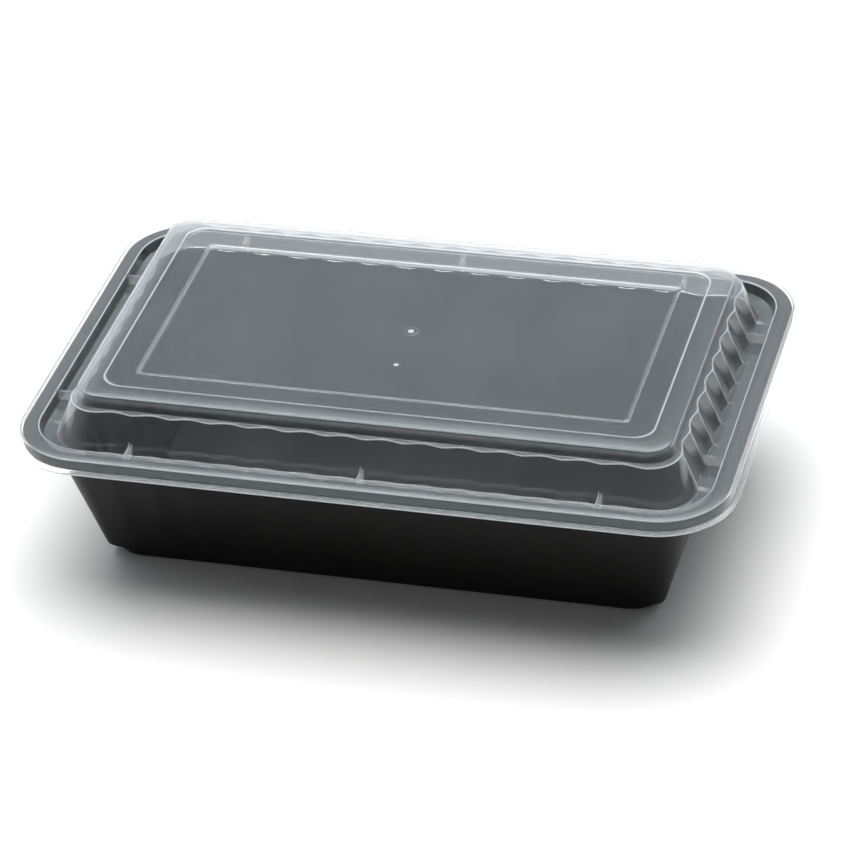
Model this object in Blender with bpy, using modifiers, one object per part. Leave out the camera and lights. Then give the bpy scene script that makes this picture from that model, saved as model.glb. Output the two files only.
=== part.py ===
"""Takeaway meal container, empty and closed: a black tray and the clear push-fit lid that rests on it.

The origin is the middle of the underside, +X runs along the length, +Z is up, and lengths are in metres.
An inset is measured inwards, in plan, from the outermost edge of the lid.
"""

import math

import bmesh
import bpy
from mathutils import Vector

# Driving dimensions
LENGTH = 0.224
WIDTH = 0.148
LID_THICKNESS = 0.0005
TRAY_THICKNESS = 0.0007
CORNER_STEPS = 7
CORNER_TIGHTENING = 0.9
PLACES_ROUND = 8.0
SHARP_ANGLE_DEG = 25
GROWS_UP, GROWS_DOWN = 1, -1

# Lid heights and insets
LIP_INSET, LIP_HEIGHT, LIP_RADIUS = 0.0, 0.0466, 0.0239
SKIRT_INSET, SKIRT_HEIGHT = 0.0021, 0.0470
FLANGE_HEIGHT = 0.0494
FLANGE_OUTER_INSET, FLANGE_INNER_INSET = 0.0032, 0.0076
FLANGE_EDGE_DROP, FLANGE_EDGE_RUN = 0.0004, 0.0006
CHANNEL_HEIGHT, CHANNEL_OUTER_INSET, CHANNEL_INNER_INSET = 0.0459, 0.0084, 0.0128
SHOULDER_HEIGHT, SHOULDER_INSET, SHOULDER_RADIUS = 0.0576, 0.0174, 0.0095
GROOVE_DEPTH = 0.00115
RISER_FOOT_INSET, RISER_RADIUS = 0.0191, 0.0080
RISER_TOP_HEIGHT, RISER_TOP_INSET = 0.0612, 0.0196
RIDGE_HEIGHT, RIDGE_OUTER_INSET, RIDGE_INNER_INSET = 0.0620, 0.0206, 0.0266
RIDGE_INNER_RADIUS = 0.0062
BAND_HEIGHT, BAND_OUTER_INSET, BAND_INNER_INSET = 0.0613, 0.0273, 0.0359
PANEL_HEIGHT, PANEL_INSET, PANEL_RADIUS = 0.0607, 0.0365, 0.0015

# Grooves pressed into the walls: how many on a long and a short side, their pitches, and points a groove
LONG_PITCH, SHORT_PITCH = 0.0121, 0.0116
SIDE_MARGIN = 0.1
LID_GROOVES = (14, 8, 6)
TRAY_GROOVES = (13, 7, 4)

# Fins across the lid's channel, each in line with a crest between two grooves
FIN_THICKNESS = 0.0006
FIN_PLACES_X = (-6 * LONG_PITCH, 0.0, 6 * LONG_PITCH)
FIN_PLACES_Y = (-3 * SHORT_PITCH, 3 * SHORT_PITCH)
FIN_BITE = 0.00025

# Tray heights and insets, all on its outer face
FOOT_INSET, FOOT_RADIUS = 0.0252, 0.0100
FOOT_EDGE_RISE = 0.0007
NOTCH_HEIGHT, NOTCH_RADIUS = 0.0035, 0.0055
NOTCH_RISE = 0.0006
WALL_SLOPE = 0.30
WALL_TOP_HEIGHT, WALL_TOP_RADIUS = 0.0443, 0.0105
TRAY_GROOVE_DEPTH = 0.0005
TRAY_GROOVE_LOW, TRAY_GROOVE_HIGH, TRAY_GROOVE_FADE = 0.008, 0.040, 0.003
SEAT_OUTER_INSET = 0.0063
RIM_INSET, RIM_HEIGHT, RIM_FOLD_INSET = 0.0059, 0.0478, 0.0042
RIM_EDGE_HEIGHT = 0.0464


def clear_objects():
    for old in list(bpy.data.objects):
        bpy.data.objects.remove(old, do_unlink=True)


def new_collection(name):
    collection = bpy.data.collections.new(name)
    bpy.context.scene.collection.children.link(collection)
    return collection


def plastic(name, colour, roughness, transmission):
    material = bpy.data.materials.new(name)
    material.use_nodes = True
    shader = material.node_tree.nodes["Principled BSDF"]
    shader.inputs["Base Color"].default_value = (*colour, 1.0)
    shader.inputs["Roughness"].default_value = roughness
    shader.inputs["Metallic"].default_value = 0.0
    shader.inputs["Transmission Weight"].default_value = transmission
    return material


def radius_at(inset):
    """Corner radius of a rim's ring, a little fuller than one parallel to the lid's outermost edge."""
    return LIP_RADIUS - inset * CORNER_TIGHTENING


def grooved_side(start, ahead, length, count, pitch, steps, depth):
    """Points along one side that dips inwards at each groove, each with its place between 0 and 1."""
    inwards = Vector((-ahead.y, ahead.x, 0))
    pitch = min(pitch, length / (count + SIDE_MARGIN))
    first = (length - count * pitch) / 2
    points = []
    for step in range(count * steps + 1):
        dip = depth * (1 - math.cos(2 * math.pi * step / steps)) / 2
        place = (step / steps + 1) / (count + 2)
        points.append((place, start + ahead * (first + step * pitch / steps) + inwards * dip))
    return points


def rounded_ring(inset, height, radius, grooves=None, groove_depth=0.0):
    """Points round a rounded rectangle, each with its place on the outline from 0 to 8.

    Even stretches are the corners and odd ones the sides, so rings with unlike points can be joined.
    """
    half = (LENGTH / 2 - inset - radius, WIDTH / 2 - inset - radius)
    ring = []
    for quarter in range(4):
        turn = math.pi / 2 * (quarter - 1)
        signs = ((1, -1), (1, 1), (-1, 1), (-1, -1))[quarter]
        centre = Vector((half[0] * signs[0], half[1] * signs[1], height))
        for step in range(CORNER_STEPS + 1):
            angle = turn + math.pi / 2 * step / CORNER_STEPS
            point = centre + radius * Vector((math.cos(angle), math.sin(angle), 0))
            ring.append((2 * quarter + step / CORNER_STEPS, point))
        if grooves:
            long_count, short_count, steps = grooves
            along_y = quarter % 2 == 0
            count, pitch = (short_count, SHORT_PITCH) if along_y else (long_count, LONG_PITCH)
            length = 2 * half[1 if along_y else 0]
            ahead = Vector((-math.cos(turn), -math.sin(turn), 0))
            side = grooved_side(ring[-1][1], ahead, length, count, pitch, steps, groove_depth)
            ring += [(2 * quarter + 1 + place, point) for place, point in side]
    return ring


def join_rings(mesh, first, second):
    """Faces between two rings of vertices: quads where their places agree, triangles elsewhere."""
    places = [[place for place, _ in ring] + [PLACES_ROUND] for ring in (first, second)]
    verts = [[vert for _, vert in ring] + [ring[0][1]] for ring in (first, second)]
    i = j = 0
    while i < len(first) or j < len(second):
        place_i = places[0][i + 1] if i < len(first) else math.inf
        place_j = places[1][j + 1] if j < len(second) else math.inf
        if math.isclose(place_i, place_j, abs_tol=1e-6):
            mesh.faces.new((verts[0][i], verts[0][i + 1], verts[1][j + 1], verts[1][j]))
            i += 1
            j += 1
        elif place_i < place_j:
            mesh.faces.new((verts[0][i], verts[0][i + 1], verts[1][j]))
            i += 1
        else:
            mesh.faces.new((verts[0][i], verts[1][j + 1], verts[1][j]))
            j += 1


def shell_from_rings(name, rings, thickness, grows, material, collection):
    """An open surface through the rings, closed over the last one, that grows up or down by its thickness."""
    mesh = bmesh.new()
    rows = [[(place, mesh.verts.new(point)) for place, point in ring] for ring in rings]
    for first, second in zip(rows, rows[1:]):
        join_rings(mesh, first, second)
    mesh.faces.new([vert for _, vert in rows[-1]])
    data = bpy.data.meshes.new(name)
    mesh.to_mesh(data)
    mesh.free()
    shell = bpy.data.objects.new(name, data)
    collection.objects.link(shell)
    data.materials.append(material)
    solidify = shell.modifiers.new("Wall", "SOLIDIFY")
    solidify.thickness = thickness
    solidify.offset = grows
    solidify.use_even_offset = True
    return shell


def lid_rings():
    """The lid's upper face, from the lip's outer edge over the rim and dome to the middle panel."""
    edge_inset = FLANGE_OUTER_INSET - FLANGE_EDGE_RUN
    foot_radius = radius_at(CHANNEL_INNER_INSET)
    return [
        rounded_ring(LIP_INSET, LIP_HEIGHT, LIP_RADIUS),
        rounded_ring(SKIRT_INSET, SKIRT_HEIGHT, radius_at(SKIRT_INSET)),
        rounded_ring(edge_inset, FLANGE_HEIGHT - FLANGE_EDGE_DROP, radius_at(edge_inset)),
        rounded_ring(FLANGE_OUTER_INSET, FLANGE_HEIGHT, radius_at(FLANGE_OUTER_INSET)),
        rounded_ring(FLANGE_INNER_INSET, FLANGE_HEIGHT, radius_at(FLANGE_INNER_INSET)),
        rounded_ring(CHANNEL_OUTER_INSET, CHANNEL_HEIGHT, radius_at(CHANNEL_OUTER_INSET), LID_GROOVES),
        rounded_ring(CHANNEL_INNER_INSET, CHANNEL_HEIGHT, foot_radius, LID_GROOVES, GROOVE_DEPTH),
        rounded_ring(SHOULDER_INSET, SHOULDER_HEIGHT, SHOULDER_RADIUS, LID_GROOVES, GROOVE_DEPTH),
        rounded_ring(RISER_FOOT_INSET, SHOULDER_HEIGHT, RISER_RADIUS, LID_GROOVES),
        rounded_ring(RISER_TOP_INSET, RISER_TOP_HEIGHT, RISER_RADIUS, LID_GROOVES),
        rounded_ring(RIDGE_OUTER_INSET, RIDGE_HEIGHT, RISER_RADIUS, LID_GROOVES),
        rounded_ring(RIDGE_INNER_INSET, RIDGE_HEIGHT, RIDGE_INNER_RADIUS),
        rounded_ring(BAND_OUTER_INSET, BAND_HEIGHT, RIDGE_INNER_RADIUS),
        rounded_ring(BAND_INNER_INSET, BAND_HEIGHT, PANEL_RADIUS),
        rounded_ring(PANEL_INSET, PANEL_HEIGHT, PANEL_RADIUS),
    ]


def wall_inset(height):
    return FOOT_INSET - WALL_SLOPE * height


def wall_ring(height, grooves=None, groove_depth=0.0):
    """A ring of the tray's tapered wall, whose corner radius grows towards the top."""
    share = (height - NOTCH_HEIGHT) / (WALL_TOP_HEIGHT - NOTCH_HEIGHT)
    radius = NOTCH_RADIUS + share * (WALL_TOP_RADIUS - NOTCH_RADIUS)
    return rounded_ring(wall_inset(height), height, radius, grooves, groove_depth)


def tray_rings():
    """The tray's outer face, from inside the rim's turned-down edge to the underside."""
    low, high = TRAY_GROOVE_LOW, TRAY_GROOVE_HIGH
    return [
        rounded_ring(RIM_FOLD_INSET, RIM_EDGE_HEIGHT, radius_at(RIM_FOLD_INSET)),
        rounded_ring(RIM_FOLD_INSET, RIM_HEIGHT, radius_at(RIM_FOLD_INSET)),
        rounded_ring(RIM_INSET, RIM_HEIGHT, radius_at(RIM_INSET)),
        rounded_ring(SEAT_OUTER_INSET, WALL_TOP_HEIGHT, radius_at(SEAT_OUTER_INSET)),
        wall_ring(WALL_TOP_HEIGHT),
        wall_ring(high, TRAY_GROOVES),
        wall_ring(high - TRAY_GROOVE_FADE, TRAY_GROOVES, TRAY_GROOVE_DEPTH),
        wall_ring(low + TRAY_GROOVE_FADE, TRAY_GROOVES, TRAY_GROOVE_DEPTH),
        wall_ring(low, TRAY_GROOVES),
        wall_ring(NOTCH_HEIGHT),
        rounded_ring(wall_inset(NOTCH_HEIGHT - NOTCH_RISE), NOTCH_HEIGHT - NOTCH_RISE, FOOT_RADIUS),
        rounded_ring(wall_inset(FOOT_EDGE_RISE), FOOT_EDGE_RISE, FOOT_RADIUS),
        rounded_ring(FOOT_INSET + FOOT_EDGE_RISE, 0.0, FOOT_RADIUS),
    ]


def fin_outline():
    """Corners of a fin as insets and heights, sunk a little into the plastic on three sides."""
    wall_slope = (SHOULDER_INSET - CHANNEL_INNER_INSET) / (SHOULDER_HEIGHT - CHANNEL_HEIGHT)
    wall_at_flange = CHANNEL_INNER_INSET + wall_slope * (FLANGE_HEIGHT - CHANNEL_HEIGHT)
    top = FLANGE_HEIGHT - FIN_BITE / 2
    return (
        (FLANGE_INNER_INSET - FIN_BITE, top),
        (CHANNEL_OUTER_INSET - FIN_BITE, CHANNEL_HEIGHT - FIN_BITE),
        (CHANNEL_INNER_INSET + FIN_BITE, CHANNEL_HEIGHT - FIN_BITE),
        (wall_at_flange + FIN_BITE, top),
    )


def add_fin(name, side, along, mesh, collection):
    """One fin as a flat plate, its face across the channel, on the side that the unit vector names."""
    fin = bpy.data.objects.new(name, mesh)
    reach = (LENGTH if side.x else WIDTH) / 2
    fin.location = side * reach + Vector((-side.y, side.x, 0)) * along
    fin.rotation_euler.z = math.atan2(side.y, side.x)
    fin.hide_render = True
    fin.display_type = "WIRE"
    collection.objects.link(fin)


def fin_mesh():
    mesh = bmesh.new()
    corners = [mesh.verts.new((-inset, -FIN_THICKNESS / 2, height)) for inset, height in fin_outline()]
    face = mesh.faces.new(corners)
    sweep = bmesh.ops.extrude_face_region(mesh, geom=[face])
    moved = [item for item in sweep["geom"] if isinstance(item, bmesh.types.BMVert)]
    bmesh.ops.translate(mesh, verts=moved, vec=(0, FIN_THICKNESS, 0))
    bmesh.ops.recalc_face_normals(mesh, faces=mesh.faces)
    data = bpy.data.meshes.new("fin")
    mesh.to_mesh(data)
    mesh.free()
    return data


def add_fins(lid, cutters):
    """Joins a fin to the lid at each place along its four sides."""
    plate = fin_mesh()
    sides = (
        ("front", Vector((0, -1, 0)), FIN_PLACES_X),
        ("back", Vector((0, 1, 0)), FIN_PLACES_X),
        ("left", Vector((-1, 0, 0)), FIN_PLACES_Y),
        ("right", Vector((1, 0, 0)), FIN_PLACES_Y),
    )
    for side_name, side, places in sides:
        for number, along in enumerate(places):
            add_fin(f"fin_{side_name}_{number}", side, along, plate, cutters)
    join = lid.modifiers.new("Fins", "BOOLEAN")
    join.operation = "UNION"
    join.operand_type = "COLLECTION"
    join.collection = cutters
    join.solver = "EXACT"


def shade(part):
    part.data.shade_smooth()
    part.data.set_sharp_from_angle(angle=math.radians(SHARP_ANGLE_DEG))


def build():
    clear_objects()
    parts = new_collection("meal_container")
    cutters = new_collection("joined_shapes")
    black = plastic("black_plastic", (0.012, 0.012, 0.013), 0.45, 0.0)
    clear = plastic("clear_plastic", (0.80, 0.82, 0.86), 0.22, 0.9)
    tray = shell_from_rings("tray", tray_rings(), TRAY_THICKNESS, GROWS_UP, black, parts)
    lid = shell_from_rings("lid", lid_rings(), LID_THICKNESS, GROWS_DOWN, clear, parts)
    add_fins(lid, cutters)
    shade(tray)
    shade(lid)


build()
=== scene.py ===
"""The looks of a takeaway meal container: a black moulded tray under its clear, slightly milky lid.

Lengths are in metres. A section is a list of turns. Each turn has an inset (measured inwards, in plan, from
the lid's outermost edge), a height over the table and the corner radius of the outline there. It also says
how long its bend is, how deep the flutes are, and how much painted highlight and painted sheen lie on the
plastic there.
"""

import math

import bmesh
import bpy
import numpy as np
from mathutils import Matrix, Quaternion, Vector


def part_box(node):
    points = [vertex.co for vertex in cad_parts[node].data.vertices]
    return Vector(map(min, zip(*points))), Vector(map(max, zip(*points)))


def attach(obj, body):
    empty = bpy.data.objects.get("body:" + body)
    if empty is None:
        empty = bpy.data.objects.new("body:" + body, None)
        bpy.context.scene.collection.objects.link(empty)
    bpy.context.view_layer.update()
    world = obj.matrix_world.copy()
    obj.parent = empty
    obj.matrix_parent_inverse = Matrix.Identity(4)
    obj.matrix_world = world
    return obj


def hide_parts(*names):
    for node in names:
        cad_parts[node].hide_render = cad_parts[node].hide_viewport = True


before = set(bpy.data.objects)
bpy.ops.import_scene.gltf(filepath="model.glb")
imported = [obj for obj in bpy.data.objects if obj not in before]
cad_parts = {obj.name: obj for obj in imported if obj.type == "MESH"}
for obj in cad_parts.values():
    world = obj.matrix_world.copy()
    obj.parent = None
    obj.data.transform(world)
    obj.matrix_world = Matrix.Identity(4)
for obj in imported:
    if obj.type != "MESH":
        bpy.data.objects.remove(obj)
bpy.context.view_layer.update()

MM = 0.001
LID_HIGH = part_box("lid")[1]
HALF_LENGTH, HALF_WIDTH = LID_HIGH.x, LID_HIGH.y
TOP = LID_HIGH.z

# How finely the outlines and sections are drawn
CORNER_STEPS = 12
GROOVE_STEPS = 10
CREST_CROWDING = 0.8
BEND_STEPS = 5
TURNED_STEPS = 28
LONGEST_STRETCH = 4.0 * MM
SHARP_EDGE = math.radians(40)

# A bend takes up at most this share of the stretch to the next turn, and flutes this share of a side
BEND_SHARE = 0.48
FLUTES_SHARE = 0.998

# Flutes: how many on a long and a short side, and their pitches
LID_FLUTES = (14, 8)
LID_PITCHES = (12.1 * MM, 11.6 * MM)
LID_FLUTE_DEPTH = 1.15 * MM
TRAY_FLUTES = (13, 7)
TRAY_PITCHES = (12.3 * MM, 11.6 * MM)
TRAY_FLUTE_DEPTH = 0.45 * MM
FLUTE_POWER = 1.5

LID_THICKNESS = 0.5 * MM
TRAY_THICKNESS = 0.7 * MM

# Heights on the lid's upper face, from the top down
BAND = TOP - 0.7 * MM
PANEL = TOP - 1.3 * MM
SHOULDER = TOP - 4.4 * MM
FLANGE = TOP - 12.6 * MM
LIP_INNER = FLANGE - 3.1 * MM
LIP_BEND = FLANGE - 3.3 * MM
LIP = FLANGE - 3.4 * MM
CHANNEL = TOP - 16.1 * MM

# Heights on the ridge's riser: a little above its foot, a little below its top, and the edge of its crown
RISER_HEIGHTS = (SHOULDER + 0.7 * MM, TOP - 1.9 * MM, TOP - 0.2 * MM)

# Insets of the lid's edges, from the outside in
LIP_BEND_INSET = 0.25 * MM
LIP_INNER_INSET = 1.9 * MM
FLANGE_OUTER_INSET = 2.6 * MM
FLANGE_INNER_INSET = 8.5 * MM
CHANNEL_OUTER_INSET = 9.4 * MM
CHANNEL_INNER_INSET = 12.8 * MM
SHOULDER_INSET = 17.4 * MM
RIDGE_OUTER_INSET = 19.6 * MM
RIDGE_CROWN_INSET = 24.2 * MM
RIDGE_INNER_INSET = 26.6 * MM
BAND_OUTER_INSET = 27.25 * MM
BAND_INNER_INSET = 35.2 * MM
PANEL_INSET = 36.6 * MM
PANEL_END_INSET = 70.0 * MM

# Corner radii of the lid's outlines: those of the rim shrink inwards by this share of the inset
LIP_RADIUS = 23.9 * MM
CORNER_TIGHTENING = 0.9
SHOULDER_RADIUS = 9.5 * MM
RIDGE_RADII = (8.0 * MM, 7.0 * MM, 6.2 * MM)
BAND_INNER_RADIUS = 1.5 * MM

# How much further out the rim's edges stand on the short sides
RIM_END_SHIFT = 1.0 * MM
SKIRT_END_SHIFT = 0.7 * MM
LIP_END_SHIFT = 0.3 * MM

# Painted highlights along the lid's sharpest bends: a share of milky white on those lines stands in for the
# light they catch
HIGHLIGHT_LIP = 0.8
HIGHLIGHT_UNDER_LIP = 0.1
HIGHLIGHT_EDGE = 0.9
HIGHLIGHT_INNER_EDGE = 1.8
HIGHLIGHT_SHOULDER = 1.8
HIGHLIGHT_MOULDING = 1.3
HIGHLIGHT_BAND_EDGE = 0.4
# The fins' painted sheen: those on the long sides, seen edge-on and lit from behind, are painted whiter
# than those on the short sides
SIDE_FIN_SHEEN, LONG_FIN_SHEEN = 0.2, 0.9

# Painted highlights on the flutes' crests, and painted sheen on the walls themselves, on the right, at the
# back, left and front: strongest where a side is seen edge-on or lit from behind
CREST_HIGHLIGHTS = (0.5, 0.05, 0.3, 0.03)
WALL_SHEEN = (0.06, 0.16, 0.28, 0.02)

# Fins that cross the channel, each in line with a crest between two flutes
FIN_CRESTS = ((-6, 0, 6), (-3, 3))
FIN_THICKNESS = 0.8 * MM
FIN_BITE = 0.22 * MM

# The marks that the mould leaves on the panel: its gate with a ring round it, and a pin's end
WHITE_RING = 0.2
WHITE_GATE = 0.85
GATE_RADIUS = 1.0 * MM
GATE_HEIGHT = 0.22 * MM
NUB_SHAPE = ((1.0, 0.2), (0.8, 0.7), (0.45, 1.0), (0.0, 1.0))
RING_RADIUS = 2.3 * MM
RING_WIDTH = 0.3 * MM
RING_HEIGHT = 0.06 * MM
PIN_PLACE = (0.4 * MM, -19.5 * MM)
PIN_RADIUS = 0.8 * MM
MARK_BITE = 0.2 * MM

# The tray's outer face, whose short sides stand a little further out at the foot
FOOT_INSET = 25.2 * MM
FOOT_RADIUS = 10.0 * MM
WALL_SLOPE = 0.30
END_SHIFT = 0.7 * MM
WALL_FOOT = 3.5 * MM
WALL_RADII = (3.8 * MM, 10.5 * MM)
TRAY_TOP = TOP - 14.2 * MM
SEAT = TOP - 17.7 * MM
TRAY_RIM_INSET = 3.9 * MM
SEAT_INSETS = (7.0 * MM, 7.4 * MM)
FLUTE_ENDS = (7 * MM, 10 * MM, 37 * MM, 40 * MM)

# The plastics
PLASTIC_IOR = 1.49
CLEAR = (0.985, 0.99, 0.995, 1.0)
# The lid's reflections are tinted blue: a painted reflection colour standing in for the room's bluish light
BLUE_REFLECTION_TINT = (0.82, 0.94, 1.0, 1.0)
CLEAR_ROUGHNESS = (0.015, 0.05)
MILK = (0.88, 0.91, 0.95, 1.0)
MILK_LIT_THROUGH = (0.92, 0.94, 0.96, 1.0)
SHARE_LIT_THROUGH = 0.4
HAZE = (0.02, 0.036)
SCUFFS = 0.04
SCUFF_STRETCH = (70.0, 260.0, 260.0)
WHITE_AND_LIGHT_STRENGTH = 0.9
BLACK = ((0.0036, 0.0034, 0.0031, 1.0), (0.0052, 0.0050, 0.0047, 1.0))
BLACK_ROUGHNESS = (0.38, 0.52)
BLACK_SHINE = 0.3
GRAIN_DEPTH = 0.2 * MM
GRAIN_STRENGTH = 0.18

# The floor
FLOOR_HALF = 6.0
FLOOR_DROP = 0.02 * MM
FLOOR = ((0.86, 0.86, 0.86, 1.0), (0.89, 0.89, 0.89, 1.0))

# How bright the room is: its front, its back, the wall at its back and the light overhead
FRONT_OF_ROOM = (0.13, 0.13, 0.13, 1.0)
BACK_OF_ROOM = (0.94, 1.00, 1.04, 1.0)
BACK_WALL = (1.4, 1.4, 1.4, 1.0)
OVERHEAD = (4.4, 4.4, 4.35, 1.0)

# Where each begins and is in full, by how far a direction leans across, backwards and upwards
BACK_EDGE = (0.1, 0.85)
WALL_BACK_EDGE = (0.5, 0.9)
WALL_LEFT_EDGE = (-0.55, -0.3)
WALL_TOP_EDGE = (0.2, 0.45)
OVERHEAD_EDGE = (0.78, 0.90)
OVERHEAD_WAY = (-0.09, 0.295, 0.951)

# Camera, as fitted to the photograph's outlines
AIM = Vector((4.7, -3.5, 27.9)) * MM
CAMERA_AZIMUTH, CAMERA_ELEVATION, CAMERA_ROLL = 16.24, 33.16, -3.26
CAMERA_DISTANCE = 1.2923
CAMERA_LENS, CAMERA_SENSOR = 174.6, 36.0


class Turn:
    """One corner of a section, softened by a bend whose tangents have the length given.

    flute is the share of the flutes' depth there, followed by the share of painted highlight along the
    bend. ends is how much further out the short sides stand, and wall is how much of each side's painted
    sheen shows.
    """

    PAINTED_HIGHLIGHT = 4

    def __init__(self, inset, height, radius, bend=0.0, flute=0.0, white_and_painted_light=0.0, ends=0.0, wall=0.0):
        self.place = np.array((inset, height, radius, flute, white_and_painted_light, ends, wall))
        self.bend = bend


def rim_turn(inset, height, bend=0.0, white_and_painted_light=0.0, ends=0.0):
    """A turn whose outline is close to parallel with the lid's outermost edge."""
    return Turn(inset, height, LIP_RADIUS - inset * CORNER_TIGHTENING, bend, white_and_painted_light=white_and_painted_light, ends=ends)


def part_way(first, second, share):
    return first + (second - first) * share


def softened(turns):
    """Places along a section, with each turn's bend drawn as a short curve."""
    places = [turns[0].place]
    for before, turn, after in zip(turns, turns[1:], turns[2:]):
        if not turn.bend:
            places.append(turn.place)
            continue
        start = towards(turn, before)
        end = towards(turn, after)
        for step in range(BEND_STEPS + 1):
            share = step / BEND_STEPS
            place = part_way(part_way(start, turn.place, share), part_way(turn.place, end, share), share)
            places.append(place)
    places.append(turns[-1].place)
    return places


def towards(turn, other):
    """The place between a turn and its neighbour where the turn's bend begins, and its painted highlight
    ends.
    """
    step = other.place - turn.place
    length = math.hypot(step[0], step[1])
    start = turn.place + step * min(turn.bend / length, BEND_SHARE)
    start[Turn.PAINTED_HIGHLIGHT] = 0.0
    return start


def spaced(places):
    """The same section with long straight stretches cut into pieces."""
    rows = [places[0]]
    for before, after in zip(places, places[1:]):
        length = math.hypot(after[0] - before[0], after[1] - before[1])
        cuts = max(1, math.ceil(length / LONGEST_STRETCH))
        rows += [part_way(before, after, cut / cuts) for cut in range(1, cuts + 1)]
    return rows


def flute_dip(along, count, pitch):
    """How deep a flute is at a place along a side, from 0 on a crest to 1 in the middle of a groove."""
    steps = along / pitch + count / 2
    if not 0 < steps < count:
        return 0.0
    return abs(math.sin(math.pi * steps)) ** FLUTE_POWER


def side_places(half, count, pitch):
    """Places along a side between its corners, closer together near each crest, and which are on one."""
    scale = min(1.0, half * FLUTES_SHARE / (count * pitch / 2))
    places = [(-half, False)]
    for step in range(count * GROOVE_STEPS + 1):
        share = step / GROOVE_STEPS
        crowded = share - CREST_CROWDING * math.sin(2 * math.pi * share) / (2 * math.pi)
        places.append((scale * pitch * (crowded - count / 2), step % GROOVE_STEPS == 0))
    return places + [(half, False)]


def outline(place, flutes, pitches, depth):
    """Points round a rounded rectangle with their painted highlight and painted sheen.

    Every outline has as many points as the others, so that they can be joined.
    """
    inset, height, radius, share, white_and_painted_light, ends, wall = place.tolist()
    half = (HALF_LENGTH - inset + ends - radius, HALF_WIDTH - inset - radius)
    points = []
    for quarter in range(4):
        turn = math.pi / 2 * quarter
        outwards = Vector((round(math.cos(turn)), round(math.sin(turn)), 0))
        ahead = Vector((-outwards.y, outwards.x, 0))
        side = 0 if outwards.y else 1
        reach = half[1 - side] + radius
        # plain carries the bend's painted highlight and the side's painted sheen; a crest adds its own
        # painted highlight
        here, following = WALL_SHEEN[quarter], WALL_SHEEN[(quarter + 1) % 4]
        plain = max(white_and_painted_light, wall * here)
        crest = max(plain, share * CREST_HIGHLIGHTS[quarter])
        for along, on_crest in side_places(half[side], flutes[side], pitches[side])[:-1]:
            dip = depth * share * flute_dip(along, flutes[side], pitches[side])
            points.append((outwards * (reach - dip) + ahead * along, crest if on_crest else plain))
        centre = outwards * (reach - radius) + ahead * half[side]
        for step in range(CORNER_STEPS):
            angle = turn + math.pi / 2 * step / CORNER_STEPS
            spot = centre + radius * Vector((math.cos(angle), math.sin(angle), 0))
            points.append((spot, max(white_and_painted_light, wall * part_way(here, following, step / CORNER_STEPS))))
    return [(point + Vector((0, 0, height)), white_and_painted_light) for point, white_and_painted_light in points]


def moulded_shell(name, section, flutes, pitches, depth, thickness, grows):
    """A thin shell through a section's outlines, closed over the last of them.

    It grows inwards from the section where grows is -1, and outwards where it is 1.
    """
    mesh = bmesh.new()
    white_and_light_layer = mesh.verts.layers.float.new("white_and_painted_light")
    rings = []
    for row in spaced(softened(section)):
        ring = []
        for point, white_and_painted_light in outline(row, flutes, pitches, depth):
            vertex = mesh.verts.new(point)
            vertex[white_and_light_layer] = white_and_painted_light
            ring.append(vertex)
        rings.append(ring)
    for outer, inner in zip(rings, rings[1:]):
        for here in range(len(outer)):
            there = (here + 1) % len(outer)
            mesh.faces.new((outer[here], outer[there], inner[there], inner[here]))
    mesh.faces.new(rings[-1])
    piece = linked(name, mesh)
    wall = piece.modifiers.new("wall", "SOLIDIFY")
    wall.thickness = thickness
    wall.offset = grows
    wall.use_even_offset = True
    return applied(piece)


def linked(name, mesh):
    """Turns a bmesh into an object of the scene."""
    data = bpy.data.meshes.new(name)
    mesh.to_mesh(data)
    mesh.free()
    piece = bpy.data.objects.new(name, data)
    bpy.context.scene.collection.objects.link(piece)
    return piece


def applied(piece):
    """Puts a piece's modifiers into its mesh."""
    graph = bpy.context.evaluated_depsgraph_get()
    data = bpy.data.meshes.new_from_object(piece.evaluated_get(graph))
    piece.modifiers.clear()
    piece.data = data
    return piece


def joined(piece, others):
    """One closed body from a piece and the closed shapes that are sunk into it."""
    for other in others:
        union = piece.modifiers.new("join", "BOOLEAN")
        union.operation = "UNION"
        union.solver = "MANIFOLD"
        union.object = other
    applied(piece)
    for other in others:
        bpy.data.objects.remove(other, do_unlink=True)
    return piece


def shaded(piece):
    """Smooth shading, with the sharp edges kept."""
    piece.data.shade_smooth()
    piece.data.set_sharp_from_angle(angle=SHARP_EDGE)
    return piece


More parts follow.
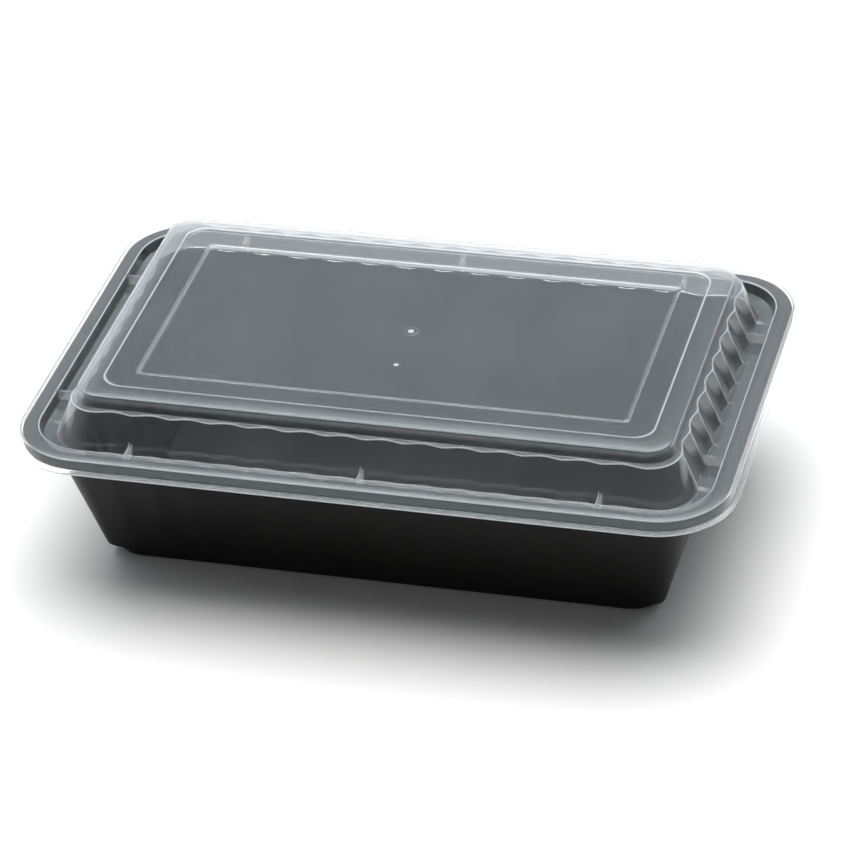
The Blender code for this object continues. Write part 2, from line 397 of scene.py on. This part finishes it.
def lid_section():
    """The lid's upper face from its lip over the rim, the channel and the dome to the middle panel."""
    inner_radius = LIP_RADIUS - CHANNEL_INNER_INSET * CORNER_TIGHTENING
    outer, crown, inner = RIDGE_RADII
    riser_foot, riser_top, crown_edge = RISER_HEIGHTS
    # Each turn also gives the painted highlight along its bend, and the wall share of each side's painted
    # sheen
    return [
        rim_turn(0.0, LIP, 0.0, HIGHLIGHT_LIP, LIP_END_SHIFT),
        rim_turn(LIP_BEND_INSET, LIP_BEND, 0.2 * MM, HIGHLIGHT_UNDER_LIP, LIP_END_SHIFT),
        rim_turn(LIP_INNER_INSET, LIP_INNER, 0.35 * MM, HIGHLIGHT_UNDER_LIP, SKIRT_END_SHIFT),
        rim_turn(FLANGE_OUTER_INSET, FLANGE, 0.6 * MM, HIGHLIGHT_EDGE, SKIRT_END_SHIFT),
        rim_turn(FLANGE_INNER_INSET, FLANGE, 0.45 * MM, HIGHLIGHT_INNER_EDGE, RIM_END_SHIFT),
        rim_turn(CHANNEL_OUTER_INSET, CHANNEL, 0.3 * MM, ends=RIM_END_SHIFT),
        Turn(CHANNEL_INNER_INSET - 0.3 * MM, CHANNEL, inner_radius, flute=1.0),
        Turn(CHANNEL_INNER_INSET, CHANNEL, inner_radius, 0.4 * MM, flute=1.0, wall=1.5),
        Turn(SHOULDER_INSET, SHOULDER, SHOULDER_RADIUS, 0.35 * MM, 1.0, HIGHLIGHT_SHOULDER, wall=1.0),
        Turn(RIDGE_OUTER_INSET, SHOULDER, outer, 0.3 * MM, wall=1.0),
        Turn(RIDGE_OUTER_INSET, riser_foot, outer, wall=0.95),
        Turn(RIDGE_OUTER_INSET, riser_top, outer, wall=0.85),
        Turn(RIDGE_OUTER_INSET, crown_edge, outer, 1.3 * MM, wall=0.8),
        Turn(RIDGE_CROWN_INSET, TOP, crown, 2.0 * MM, wall=0.3),
        Turn(RIDGE_INNER_INSET, TOP, inner, 0.45 * MM, white_and_painted_light=HIGHLIGHT_MOULDING),
        Turn(BAND_OUTER_INSET, BAND, inner, 0.3 * MM),
        Turn(BAND_INNER_INSET, BAND, BAND_INNER_RADIUS, 0.3 * MM, white_and_painted_light=HIGHLIGHT_BAND_EDGE),
        Turn(PANEL_INSET - 0.7 * MM, part_way(BAND, PANEL, 0.5), BAND_INNER_RADIUS, wall=1.2),
        Turn(PANEL_INSET, PANEL, BAND_INNER_RADIUS, 0.3 * MM),
        Turn(PANEL_END_INSET, PANEL, 1.0 * MM),
    ]


def turned(name, profile, place, white_and_painted_light):
    """A small closed body of revolution, from a closed profile of radii and heights, on the panel."""
    mesh = bmesh.new()
    white_and_light_layer = mesh.verts.layers.float.new("white_and_painted_light")
    rings = []
    for step in range(TURNED_STEPS):
        angle = 2 * math.pi * step / TURNED_STEPS
        ring = []
        for radius, height in profile:
            across = place[0] + radius * math.cos(angle)
            back = place[1] + radius * math.sin(angle)
            vertex = mesh.verts.new((across, back, PANEL + height))
            vertex[white_and_light_layer] = white_and_painted_light
            ring.append(vertex)
        rings.append(ring)
    for step, ring in enumerate(rings):
        following = rings[(step + 1) % TURNED_STEPS]
        for here in range(len(profile)):
            there = (here + 1) % len(profile)
            mesh.faces.new((ring[here], following[here], following[there], ring[there]))
    bmesh.ops.remove_doubles(mesh, verts=mesh.verts, dist=0.001 * MM)
    bmesh.ops.recalc_face_normals(mesh, faces=mesh.faces)
    return linked(name, mesh)


def mould_marks():
    """The gate's nub with the ring round it, and the end of a pin."""
    marks = []
    for name, place, radius in (("gate", (0.0, 0.0), GATE_RADIUS), ("pin", PIN_PLACE, PIN_RADIUS)):
        profile = [(0.0, -MARK_BITE), (radius, -MARK_BITE)]
        profile += [(radius * out, GATE_HEIGHT * up) for out, up in NUB_SHAPE]
        marks.append(turned(name, profile, place, WHITE_GATE))
    inner, outer = RING_RADIUS - RING_WIDTH / 2, RING_RADIUS + RING_WIDTH / 2
    profile = [(inner, -MARK_BITE), (outer, -MARK_BITE)]
    profile += [(outer, 0.6 * RING_HEIGHT), (RING_RADIUS, RING_HEIGHT), (inner, 0.6 * RING_HEIGHT)]
    marks.append(turned("ring", profile, (0.0, 0.0), WHITE_RING))
    return marks


def dome_inset(height):
    """Where the dome's side is at a height."""
    slope = (SHOULDER_INSET - CHANNEL_INNER_INSET) / (SHOULDER - CHANNEL)
    return CHANNEL_INNER_INSET + slope * (height - CHANNEL)


def fin_places():
    """The side that each fin stands on, and how far along it."""
    places = []
    for axis, crests, pitch in (
        (Vector((0, 1, 0)), FIN_CRESTS[0], LID_PITCHES[0]),
        (Vector((1, 0, 0)), FIN_CRESTS[1], LID_PITCHES[1]),
    ):
        for side in (axis, -axis):
            places += [(side, crest * pitch) for crest in crests]
    return places


def fin(side, along):
    """A thin upright plate across the channel, sunk a little into the plastic on three sides."""
    half_reach = HALF_LENGTH if side.x else HALF_WIDTH
    rim = -RIM_END_SHIFT if side.x else 0.0
    top = FLANGE - FIN_BITE / 2
    corners = (
        (FLANGE_INNER_INSET + rim - FIN_BITE, top),
        (CHANNEL_OUTER_INSET + rim - FIN_BITE, CHANNEL - FIN_BITE),
        (CHANNEL_INNER_INSET + FIN_BITE, CHANNEL - FIN_BITE),
        (dome_inset(FLANGE) + FIN_BITE, top),
    )
    across = Vector((-side.y, side.x, 0))
    mesh = bmesh.new()
    cheeks = []
    for shift in (-FIN_THICKNESS / 2, FIN_THICKNESS / 2):
        cheek = []
        for inset, height in corners:
            spot = side * (half_reach - inset) + across * (along + shift)
            cheek.append(mesh.verts.new(spot + Vector((0, 0, height))))
        cheeks.append(cheek)
    left, right = cheeks
    mesh.faces.new(left)
    mesh.faces.new(reversed(right))
    for here in range(len(corners)):
        there = (here + 1) % len(corners)
        mesh.faces.new((left[there], left[here], right[here], right[there]))
    bmesh.ops.recalc_face_normals(mesh, faces=mesh.faces)
    return linked("fin", mesh)


def paint_fin_sheen(lid):
    """Paints the fins' milky sheen where they meet the lid, because their own corners are sunk into it:
    painted light, whitest on the fins along the long sides.
    """
    speck = 0.02 * MM
    margin = 0.1 * MM
    points = np.empty(len(lid.data.vertices) * 3)
    lid.data.vertices.foreach_get("co", points)
    points = points.reshape(-1, 3)
    white_and_painted_light = np.empty(len(points))
    layer = lid.data.attributes["white_and_painted_light"].data
    layer.foreach_get("value", white_and_painted_light)
    height = points[:, 2]
    for side, along in fin_places():
        half_reach = HALF_LENGTH if side.x else HALF_WIDTH
        inset = half_reach - points @ np.array(side)
        beside = np.abs(points @ np.array((-side.y, side.x, 0)) - along)
        near = np.abs(beside - FIN_THICKNESS / 2) < speck
        near &= (height > CHANNEL - margin) & (height < FLANGE + margin)
        near &= (inset > FLANGE_INNER_INSET - 1.5 * MM) & (inset < dome_inset(height) + 2 * margin)
        white_and_painted_light[near] = SIDE_FIN_SHEEN if side.x else LONG_FIN_SHEEN
    layer.foreach_set("value", white_and_painted_light)


def make_lid():
    flutes = (LID_FLUTES, LID_PITCHES, LID_FLUTE_DEPTH)
    lid = moulded_shell("clear_lid", lid_section(), *flutes, LID_THICKNESS, -1)
    joined(lid, [fin(side, along) for side, along in fin_places()] + mould_marks())
    paint_fin_sheen(lid)
    return shaded(lid)


def wall_turn(height, bend=0.0, flute=0.0, radius=None):
    """A turn on the tray's tapered wall, whose corner radius grows towards the top."""
    share = (height - WALL_FOOT) / (SEAT - WALL_FOOT)
    radius = radius or part_way(WALL_RADII[0], WALL_RADII[1], share)
    inset = FOOT_INSET - WALL_SLOPE * height
    return Turn(inset, height, radius, bend, flute, ends=END_SHIFT * (1 - share))


def tray_section():
    """The tray's outer face, from inside the rim's turned-down edge to the underside."""
    low_end, low_flutes, high_flutes, high_end = FLUTE_ENDS
    return [
        rim_turn(TRAY_RIM_INSET, FLANGE - 3.9 * MM, ends=SKIRT_END_SHIFT),
        rim_turn(TRAY_RIM_INSET, TRAY_TOP, 0.5 * MM, ends=SKIRT_END_SHIFT),
        rim_turn(SEAT_INSETS[0], TRAY_TOP, 0.4 * MM, ends=RIM_END_SHIFT),
        rim_turn(SEAT_INSETS[1], SEAT, 0.5 * MM, ends=RIM_END_SHIFT),
        wall_turn(SEAT, 1.0 * MM),
        wall_turn(high_end),
        wall_turn(high_flutes, 0.8 * MM, flute=1.0),
        wall_turn(low_flutes, 0.8 * MM, flute=1.0),
        wall_turn(low_end),
        wall_turn(WALL_FOOT, 0.4 * MM),
        wall_turn(WALL_FOOT - 0.5 * MM, 0.15 * MM, radius=FOOT_RADIUS),
        Turn(FOOT_INSET + 0.1 * MM, 0.0, FOOT_RADIUS, 0.9 * MM),
        Turn(FOOT_INSET + 40 * MM, 0.0, 5.0 * MM),
    ]


def make_tray():
    flutes = (TRAY_FLUTES, TRAY_PITCHES, TRAY_FLUTE_DEPTH)
    tray = moulded_shell("black_tray", tray_section(), *flutes, TRAY_THICKNESS, 1)
    return shaded(tray)


class Value:
    """A socket of a node tree, so that shader maths reads as plain expressions."""

    def __init__(self, painter, socket):
        self.painter = painter
        self.socket = socket

    def maths(self, operation, first, second):
        return self.painter.node("ShaderNodeMath", {"operation": operation}, [first, second])

    def __add__(self, other):
        return self.maths("ADD", self, other)

    def __sub__(self, other):
        return self.maths("SUBTRACT", self, other)

    def __rsub__(self, other):
        return self.maths("SUBTRACT", other, self)

    def __mul__(self, other):
        return self.maths("MULTIPLY", self, other)

    __radd__ = __add__
    __rmul__ = __mul__


class Painter:
    """The node tree of a material or of the room, under construction."""

    def __init__(self, owner):
        owner.use_nodes = True
        self.tree = owner.node_tree
        self.tree.nodes.clear()

    def node(self, kind, settings=None, sockets=None, out=0):
        """Adds a node: its settings first, then the values or links of its sockets, by number or name."""
        node = self.tree.nodes.new(kind)
        for key, value in (settings or {}).items():
            setattr(node, key, value)
        pairs = enumerate(sockets) if isinstance(sockets, list) else (sockets or {}).items()
        for key, value in pairs:
            if isinstance(value, Value):
                self.tree.links.new(value.socket, node.inputs[key])
            else:
                node.inputs[key].default_value = value
        return Value(self, node.outputs[out]) if node.outputs else None

    def place(self):
        return self.node("ShaderNodeTexCoord", out="Object")

    def noise(self, scale, detail=2.0, place=None):
        sockets = {"Vector": place or self.place(), "Scale": scale, "Detail": detail}
        return self.node("ShaderNodeTexNoise", sockets=sockets)

    def between(self, value, low, high, to_low, to_high):
        """Goes smoothly from one number to another while a value goes from low to high."""
        settings = {"interpolation_type": "SMOOTHSTEP"}
        return self.node("ShaderNodeMapRange", settings, [value, low, high, to_low, to_high])

    def blend(self, share, first, second):
        """A colour between two others."""
        sockets = {"Factor": share, "A": first, "B": second}
        return self.node("ShaderNodeMix", {"data_type": "RGBA"}, sockets, out=2)


def clear_plastic():
    """Clear polypropylene: glossy, a little milky, with a few scuffs, the mould marks' own white, painted
    highlights along its bends and painted sheen on sides seen edge-on.
    """
    material = bpy.data.materials.new("clear_plastic")
    paint = Painter(material)
    cloud = paint.noise(38.0, 3.0)
    sockets = {"Vector": paint.place(), "Scale": SCUFF_STRETCH}
    stretched = paint.node("ShaderNodeMapping", sockets=sockets)
    scuff = paint.between(paint.noise(1.0, 2.0, stretched), 0.70, 0.80, 0.0, SCUFFS)
    glass = paint.node(
        "ShaderNodeBsdfPrincipled",
        sockets={
            "Base Color": CLEAR,
            "Roughness": paint.between(cloud, 0.35, 0.7, *CLEAR_ROUGHNESS),
            "IOR": PLASTIC_IOR,
            "Transmission Weight": 1.0,
            "Specular Tint": BLUE_REFLECTION_TINT,
        },
    )
    lit = paint.node("ShaderNodeBsdfDiffuse", sockets={"Color": MILK})
    lit_through = paint.node("ShaderNodeBsdfTranslucent", sockets={"Color": MILK_LIT_THROUGH})
    milk = paint.node("ShaderNodeMixShader", sockets=[SHARE_LIT_THROUGH, lit, lit_through])
    white_and_painted_light = paint.node("ShaderNodeAttribute", {"attribute_name": "white_and_painted_light"}, out="Fac")
    haze = paint.between(cloud, 0.3, 0.7, *HAZE)
    # The mix takes in the haze, the scuffs, the mould marks' own white and the painted highlights and sheen
    share = haze + scuff + white_and_painted_light * WHITE_AND_LIGHT_STRENGTH
    surface = paint.node("ShaderNodeMixShader", sockets=[share, glass, milk])
    paint.node("ShaderNodeOutputMaterial", sockets={"Surface": surface})
    return material


def black_plastic():
    """Black polypropylene, semi-matt from a fine-grained mould."""
    material = bpy.data.materials.new("black_plastic")
    paint = Painter(material)
    cloud = paint.noise(24.0, 3.0)
    grain = paint.noise(2600.0)
    sockets = {"Strength": GRAIN_STRENGTH, "Distance": GRAIN_DEPTH, "Height": grain}
    bump = paint.node("ShaderNodeBump", sockets=sockets)
    surface = paint.node(
        "ShaderNodeBsdfPrincipled",
        sockets={
            "Base Color": paint.blend(cloud, *BLACK),
            "Roughness": paint.between(cloud + grain * 0.3, 0.4, 0.9, *BLACK_ROUGHNESS),
            "IOR": PLASTIC_IOR,
            "Specular IOR Level": BLACK_SHINE,
            "Normal": bump,
        },
    )
    paint.node("ShaderNodeOutputMaterial", sockets={"Surface": surface})
    return material


def floor_paint():
    """A pale matt paint, a little uneven."""
    material = bpy.data.materials.new("pale_floor")
    paint = Painter(material)
    colour = paint.blend(paint.noise(1.3), *FLOOR)
    surface = paint.node("ShaderNodeBsdfPrincipled", sockets={"Base Color": colour, "Roughness": 0.6})
    paint.node("ShaderNodeOutputMaterial", sockets={"Surface": surface})
    return material


def make_floor():
    """A plain pale floor under the tray."""
    mesh = bmesh.new()
    bmesh.ops.create_grid(mesh, x_segments=2, y_segments=2, size=FLOOR_HALF)
    floor = linked("floor", mesh)
    floor.location.z = -FLOOR_DROP
    floor.data.materials.append(floor_paint())


def light_room():
    """A room with a dim front, a pale back wall and a wide soft light over the table."""
    world = bpy.data.worlds.new("room")
    bpy.context.scene.world = world
    paint = Painter(world)
    way = paint.node("ShaderNodeTexCoord", out="Generated")
    across, back, up = (paint.node("ShaderNodeSeparateXYZ", sockets=[way], out=part) for part in range(3))
    backwards = paint.between(back + up * 0.5 - across * 0.3, *BACK_EDGE, 0.0, 1.0)
    room = paint.blend(backwards, FRONT_OF_ROOM, BACK_OF_ROOM)
    wall = paint.between(back, *WALL_BACK_EDGE, 0.0, 1.0) * paint.between(up, *WALL_TOP_EDGE, 1.0, 0.0)
    wall = wall * paint.between(across, *WALL_LEFT_EDGE, 0.0, 1.0)
    towards_light = across * OVERHEAD_WAY[0] + back * OVERHEAD_WAY[1] + up * OVERHEAD_WAY[2]
    light = paint.between(towards_light, *OVERHEAD_EDGE, 0.0, 1.0)
    colour = paint.blend(light, paint.blend(wall, room, BACK_WALL), OVERHEAD)
    background = paint.node("ShaderNodeBackground", sockets={"Color": colour, "Strength": 1.0})
    paint.node("ShaderNodeOutputWorld", sockets={"Surface": background})


def place_camera():
    """A long lens in front of the container, a little to its right and above it."""
    azimuth, elevation = math.radians(CAMERA_AZIMUTH), math.radians(CAMERA_ELEVATION)
    outwards = Vector((math.sin(azimuth), -math.cos(azimuth), 0)) * math.cos(elevation)
    outwards.z = math.sin(elevation)
    data = bpy.data.cameras.new("camera")
    data.lens = CAMERA_LENS
    data.sensor_width = CAMERA_SENSOR
    camera = bpy.data.objects.new("camera", data)
    level = (-outwards).to_track_quat("-Z", "Y")
    camera.rotation_mode = "QUATERNION"
    camera.rotation_quaternion = level @ Quaternion((0, 0, 1), math.radians(CAMERA_ROLL))
    camera.location = AIM + outwards * CAMERA_DISTANCE
    bpy.context.scene.collection.objects.link(camera)
    bpy.context.scene.camera = camera


def dress(piece, node, material):
    """Puts a piece in the place of a plain one, in its own material, on the container's body."""
    piece.data.materials.clear()
    piece.data.materials.append(material)
    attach(piece, "root")
    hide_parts(node)


place_camera()
light_room()
make_floor()
dress(make_tray(), "tray", black_plastic())
dress(make_lid(), "lid", clear_plastic())
bpy.context.scene.view_settings.view_transform = "Standard"
